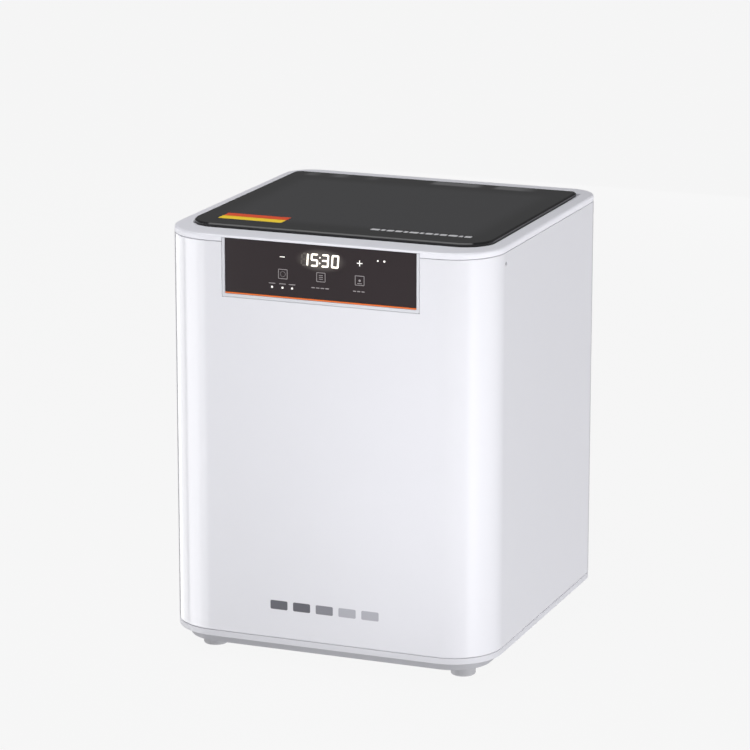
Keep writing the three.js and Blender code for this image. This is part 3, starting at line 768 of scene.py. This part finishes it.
def panel_slab(name, node, material, edge):
    """A flat plate in the place of a CAD node, with its corners rounded in the front view."""
    low, high = limits(node)
    obj = to_object(name, prism(pill(low.x, high.x, low.z, high.z, edge), low.y, high.y, "y"))
    place(obj, material, "cabinet", 0.25)
    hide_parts(node)


PRINT_FRONT = GLASS_LOW.y - 0.12
PRINT_REAR = GLASS_LOW.y + 0.1


def printed(name, shapes, material):
    """Flat prints on the touch plate, from outlines in X and Z that are centred on its middle."""
    moved = [[(x + PRINT_MIDDLE, z) for x, z in shape] for shape in shapes]
    mesh = joined(*[prism(shape, PRINT_FRONT, PRINT_REAR, "y") for shape in moved])
    return place(to_object(name, mesh), material, "cabinet", 0.04, 1)


def bar(x, z, width, height, radius=None):
    """A bar centred on x and z, with round ends unless it has a radius of its own."""
    half, rise = width / 2, height / 2
    if radius is None:
        radius = min(half, rise)
    return pill(x - half, x + half, z - rise, z + rise, radius, 4)


DIGIT_HEIGHT = 14.2
DIGIT_WIDTH = 8.6
STROKE = 2.0
SLANT = 0.07  # how far a digit leans for each millimetre of height
SEGMENT_ROUNDING = 0.9
LIT_CUT = (1.4, 0.1)  # how much shorter than its cell a level and an upright segment is
UNLIT_CUT = (3.6, 2.0)
UPRIGHT_OVERLAP = 0.7
COLON_X = -1.2
COLON_RISE = 3
COLON_DOT = 1.7
DIGIT_PLACES = ((-18.4, "1"), (-7.3, "5"), (4.9, "3"), (16.3, "0"))
SEGMENTS = {
    "top": (0, 1, "level"),
    "middle": (0, 0, "level"),
    "bottom": (0, -1, "level"),
    "upper_left": (-1, 0.5, "upright"),
    "upper_right": (1, 0.5, "upright"),
    "lower_left": (-1, -0.5, "upright"),
    "lower_right": (1, -0.5, "upright"),
}
DIGITS = {
    "0": ["top", "bottom", "upper_left", "upper_right", "lower_left", "lower_right"],
    "1": ["upper_right", "lower_right"],
    "3": ["top", "middle", "bottom", "upper_right", "lower_right"],
    "5": ["top", "middle", "bottom", "upper_left", "lower_right"],
}


def leaning(points):
    """Points shifted sideways with their height, as the digits lean."""
    return [(x + SLANT * (z - TIMER_Z), z) for x, z in points]


def timer(lit):
    """The segments of four digits that are lit, with a colon, or those that aren't."""
    reach = (DIGIT_WIDTH - STROKE) / 2
    rise = (DIGIT_HEIGHT - STROKE) / 2
    level_cut, upright_cut = LIT_CUT if lit else UNLIT_CUT
    long, tall = DIGIT_WIDTH - level_cut, rise - upright_cut + UPRIGHT_OVERLAP
    shapes = []
    for x, digit in DIGIT_PLACES:
        for name, (across, up, way) in SEGMENTS.items():
            if (name in DIGITS[digit]) != lit:
                continue
            width, height = (long, STROKE) if way == "level" else (STROKE, tall)
            middle, z = x + across * reach, TIMER_Z + up * rise
            shapes.append(leaning(bar(middle, z, width, height, SEGMENT_ROUNDING)))
    if lit:
        for z in (TIMER_Z - COLON_RISE, TIMER_Z + COLON_RISE):
            shapes.append(leaning(bar(COLON_X, z, COLON_DOT, COLON_DOT)))
    return shapes


def ring_of(x, z, radius, line, count=16):
    """Short bars round a circle."""
    shapes = []
    for step in range(count):
        angle = 2 * math.pi * step / count
        shapes.append(bar(x + radius * math.cos(angle), z + radius * math.sin(angle), line, line))
    return shapes


def frame_of(x, z, size, line):
    """Four thin bars round a square."""
    half = size / 2
    return [
        bar(x, z - half, size, line),
        bar(x, z + half, size, line),
        bar(x - half, z, line, size),
        bar(x + half, z, line, size),
    ]


KEY_Z = 436.0
SIGN_X = 44.0
SIGN_Z = 454.6
SIGN_SIZE = 6.4
SIGN_LINE = 0.8
LAMP_PLACES = (-56.0, -44.0, -33.0)
LAMP_Z = 421.2
LAMP_SIZE = 2.3
SENSOR_Z = 458.8
SENSORS = ((64.5, 1.9), (71.8, 2.3))  # the two dots high on the right: x and size
LAMP_CAPTION_Z = 425.3
KEY_CAPTION_Z = 424.2
KEY_CAPTIONS = ((-1, 4.2, 4), (43, 3.6, 3))  # middle, dash width and number of dashes
DASH_GAP = 1.2


def icons():
    """Three function keys: a square with a dotted ring, a barred square and a square with a dot."""
    z = KEY_Z
    line = 0.65
    left, right = -43.5, SIGN_X
    shapes = frame_of(left, z, 10.0, line) + ring_of(left, z, 2.8, line)
    shapes += frame_of(0, z, 9.6, line)
    shapes += [bar(0, z + step, 4.6, line) for step in (-2.0, 0, 2.0)]
    shapes += frame_of(right, z, 10.0, line)
    shapes += [bar(right, z, 2.6, 2.6), bar(right, z - 3.2, 5.2, line)]
    for middle, width, count in KEY_CAPTIONS:
        for step in range(count):
            x = middle + (step - (count - 1) / 2) * (width + DASH_GAP)
            shapes.append(bar(x, KEY_CAPTION_Z, width, 1.0))
    for x in LAMP_PLACES:
        shapes.append(bar(x, LAMP_CAPTION_Z, 7.6, 0.8))
    return shapes


def lights():
    """The minus and plus keys and the small round indicator lights."""
    shapes = [
        bar(-SIGN_X, SIGN_Z, 5.8, SIGN_LINE),
        bar(SIGN_X, SIGN_Z, SIGN_SIZE, SIGN_LINE),
    ]
    shapes += [bar(x, LAMP_Z, LAMP_SIZE, LAMP_SIZE) for x in LAMP_PLACES]
    shapes += [bar(x, SENSOR_Z, size, size) for x, size in SENSORS]
    return shapes


bezel()
panel_slab("touch_plate", "panel_glass", TOUCH, 1.0)
panel_slab("orange_trim", "panel_trim", ORANGE, 0.5)
printed("timer_digits", timer(True), GLOW)
printed("timer_unlit", timer(False), UNLIT)
printed("key_icons", icons(), ICON)
printed("key_lights", lights(), KEY_GLOW)
printed("plus_key_upright", [bar(SIGN_X, SIGN_Z, SIGN_LINE, SIGN_SIZE)], KEY_GLOW)


# ---------------------------------------------------------------- front mark: plain bars

def front_mark():
    """Five plain bars, from dark to light."""
    looks = (MARK_DARK, MARK_DARK, MARK_MIDDLE, MARK_LIGHT, MARK_LIGHT)
    width, height, pitch = 20.0, 10.0, 26.5
    middle, z = 4.0, 68.5
    for index, look in enumerate(looks):
        x = middle + (index - 2) * pitch
        shape = bar(x, z, width, height, 1.5)
        obj = to_object("front_bar_%d" % index, prism(shape, FRONT - 0.08, FRONT + 0.3, "y"))
        place(obj, look, "cabinet", 0.04, 1)


front_mark()


# ---------------------------------------------------------------- lid

LID_FACE = LID_HIGH.z - PRINT
LID_CHAMFER = 1.5
MARK_START = 31.0
MARK_ROW = (-124.5, -117.5)
MARK_DASHES = (9, 4, 7, 7, 4, 9, 4, 7, 4, 7, 9, 4, 7)
MARK_SCALE = 1.1
MARK_GAP = 2.0
LABEL_BOX = (-146.0, -70.0, -127.0, -96.0)
LABEL_MARGIN = 1.0
LABEL_SPLIT = 15.5  # how deep the yellow field is, measured from the label's front edge


def lid_plate():
    """The smoked plate, with a narrow chamfer round its top edge."""
    low = LID_LOW.z
    edge = LID_CHAMFER
    flat = 8.0
    profile = [
        (0.6, low, 0.5),
        (0, low + 0.6, 0),
        (0, LID_FACE - edge, 0),
        (edge, LID_FACE, 0),
        (flat, LID_FACE, 0),
    ]
    loops = [lid_plan(flat, low)] + contour(lid_plan, profile, 6)
    obj = to_object("lid_plate", skin(loops, False))
    place(obj, SMOKED, "lid", 0.2)
    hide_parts("lid_panel")


def on_lid(name, shapes, material, height):
    """Flat prints on the lid, from outlines in X and Y."""
    mesh = joined(*[prism(shape, LID_FACE - 0.1, LID_FACE + height) for shape in shapes])
    place(to_object(name, mesh), material, "lid", 0.02, 1)


def label():
    """A plain sticker: yellow with a red band along its rear and a thin dark edge."""
    x0, x1, y0, y1 = LABEL_BOX
    on_lid("label_edge", [pill(x0, x1, y0, y1, 2)], LABEL_EDGE, 0.03)
    x0, x1 = x0 + LABEL_MARGIN, x1 - LABEL_MARGIN
    field_rear = y0 + LABEL_SPLIT
    band_front = field_rear + 0.5
    on_lid("label_field", [pill(x0, x1, y0 + LABEL_MARGIN, field_rear, 1)], LABEL, 0.05)
    on_lid("label_band", [pill(x0, x1, band_front, y1 - LABEL_MARGIN, 1)], LABEL_BAND, 0.05)


def lid_mark():
    """A line of short plain dashes of different lengths."""
    shapes = []
    front, rear = MARK_ROW
    x = MARK_START
    for dash in MARK_DASHES:
        length = dash * MARK_SCALE
        shapes.append(pill(x, x + length, front, rear, 1.2))
        x += length + MARK_GAP
    on_lid("lid_mark", shapes, LID_PRINT, 0.05)


lid_plate()
label()
lid_mark()


# ---------------------------------------------------------------- every other CAD piece

SLOT_OF = {row["node"]: row["material_slot"] for row in frame["record"]["subparts"]}

for node, obj in nodes.items():
    look = SLOT_LOOK[SLOT_OF[node]]
    if look is DARK and "basket" in node:
        look = BASKET
    obj.data.materials.clear()
    obj.data.materials.append(look)
    if obj.visible_get():
        soften(obj, 0.35, 2, weld=True)


# ---------------------------------------------------------------- floor, lights and camera

FLOOR_REACH = 20.0  # metres, as are all lengths from here on
FLOOR_LEVEL = -0.0002
BACKDROP_HEIGHT = 15.0
PAPER_GLOW = 0.912
WORLD_FRONT = 0.15
WORLD_REAR = 0.125
AIM_HEIGHT = 0.24
CAMERA_PLACE = (1.4112, -3.5969, 1.2591)
CAMERA_PITCH = 0.246841
CAMERA_YAW = 0.376848
CAMERA_LENS = 172.13


def paper(name, albedo):
    """Pale studio paper that is evenly lit from behind."""
    look = surface(name, (albedo, albedo, albedo, 1), 0.9, 0.01, 0.02, 300.0, 0.02, Specular_IOR_Level=0.0)
    shader = look.node_tree.nodes["Principled BSDF"]
    shader.inputs["Emission Color"].default_value = (1, 1, 1, 1)
    shader.inputs["Emission Strength"].default_value = PAPER_GLOW
    return look


def stage_piece(name, loops, look):
    """Quads between loops of points that are given in metres."""
    mesh = bmesh.new()
    rows = [[mesh.verts.new(point) for point in loop] for loop in loops]
    for low, high in zip(rows, rows[1:]):
        band(mesh, low, high)
    data = bpy.data.meshes.new(name)
    mesh.to_mesh(data)
    mesh.free()
    data.materials.append(look)
    obj = bpy.data.objects.new(name, data)
    bpy.context.scene.collection.objects.link(obj)
    obj.visible_glossy = False
    obj.visible_shadow = False
    return obj


def floor():
    """A round floor and the wall round it, which lights nothing."""
    middle = circle_plan(0, 0, 0.001, FLOOR_LEVEL)
    edge = circle_plan(0, 0, FLOOR_REACH, FLOOR_LEVEL)
    top = circle_plan(0, 0, FLOOR_REACH, BACKDROP_HEIGHT)
    stage_piece("floor", [middle, edge], paper("floor_paper", 0.015))
    wall = stage_piece("backdrop", [edge, top], paper("backdrop_paper", 0.0))
    wall.visible_diffuse = False


def area_light(name, azimuth, elevation, distance, width, height, power):
    """A soft box that faces the middle of the machine. Azimuth 0 is in front, 90 on its right."""
    data = bpy.data.lights.new(name, "AREA")
    data.shape = "RECTANGLE"
    data.size, data.size_y = width, height
    data.energy = power
    obj = bpy.data.objects.new(name, data)
    turn, rise = math.radians(azimuth), math.radians(elevation)
    toward = Vector((math.sin(turn) * math.cos(rise), -math.cos(turn) * math.cos(rise), math.sin(rise)))
    obj.location = Vector((0, 0, AIM_HEIGHT)) + toward * distance
    obj.rotation_mode = "QUATERNION"
    obj.rotation_quaternion = toward.to_track_quat("Z", "Y")
    obj.visible_camera = False
    bpy.context.scene.collection.objects.link(obj)
    return obj


def wash(*box):
    """A box that brightens surfaces and isn't mirrored in them."""
    area_light(*box).visible_glossy = False


def mirrored(*box):
    """A box that is only seen as a soft highlight."""
    area_light(*box).visible_diffuse = False


def world():
    """An even grey surround, darker behind the machine so that the lid stays dark."""
    scene_world = bpy.data.worlds.new("studio")
    scene_world.use_nodes = True
    tree = scene_world.node_tree
    background = tree.nodes["Background"]
    background.inputs["Color"].default_value = (1, 1, 1.01, 1)
    toward = tree.nodes.new("ShaderNodeTexCoord")
    split = tree.nodes.new("ShaderNodeSeparateXYZ")
    fall = tree.nodes.new("ShaderNodeMapRange")
    tree.links.new(toward.outputs["Generated"], split.inputs["Vector"])
    tree.links.new(split.outputs["Y"], fall.inputs["Value"])
    fall.inputs["From Min"].default_value = -0.6
    fall.inputs["From Max"].default_value = 0.8
    fall.inputs["To Min"].default_value = WORLD_FRONT
    fall.inputs["To Max"].default_value = WORLD_REAR
    tree.links.new(fall.outputs["Result"], background.inputs["Strength"])
    bpy.context.scene.world = scene_world


def camera():
    """A long lens in front of the machine, to its right and a little above it."""
    data = bpy.data.cameras.new("camera")
    data.lens = CAMERA_LENS
    data.sensor_width = 36
    data.clip_end = 100
    obj = bpy.data.objects.new("camera", data)
    obj.location = CAMERA_PLACE
    obj.rotation_euler = (math.pi / 2 - CAMERA_PITCH, 0, CAMERA_YAW)
    bpy.context.scene.collection.objects.link(obj)
    bpy.context.scene.camera = obj


floor()
world()
# name, azimuth and elevation in degrees, distance, width, height, power in watts
wash("side_wash", 98, -15, 2.5, 2.0, 2.0, 60.0)
wash("left_wash", -100, -15, 2.5, 2.0, 2.0, 12.0)
wash("rear_wash", 180, -12, 2.5, 2.0, 2.0, 40.0)
wash("key_box", 19, -18, 0.62, 0.3, 1.2, 2.8)
mirrored("right_soft", 60, -8, 1.7, 0.6, 1.6, 3.4)
mirrored("right_edge", 106, -8, 2.2, 2.0, 1.8, 0.6)
mirrored("left_soft", -60, -8, 1.7, 1.0, 1.6, 17.0)
mirrored("left_tail", -35, -8, 1.7, 0.45, 1.6, 5.4)
mirrored("left_edge", -104, -8, 2.2, 1.6, 1.8, 19.0)
area_light("top_box", -30, 72, 1.9, 1.6, 1.6, 27.0)
camera()
bpy.context.scene.view_settings.view_transform = "Standard"
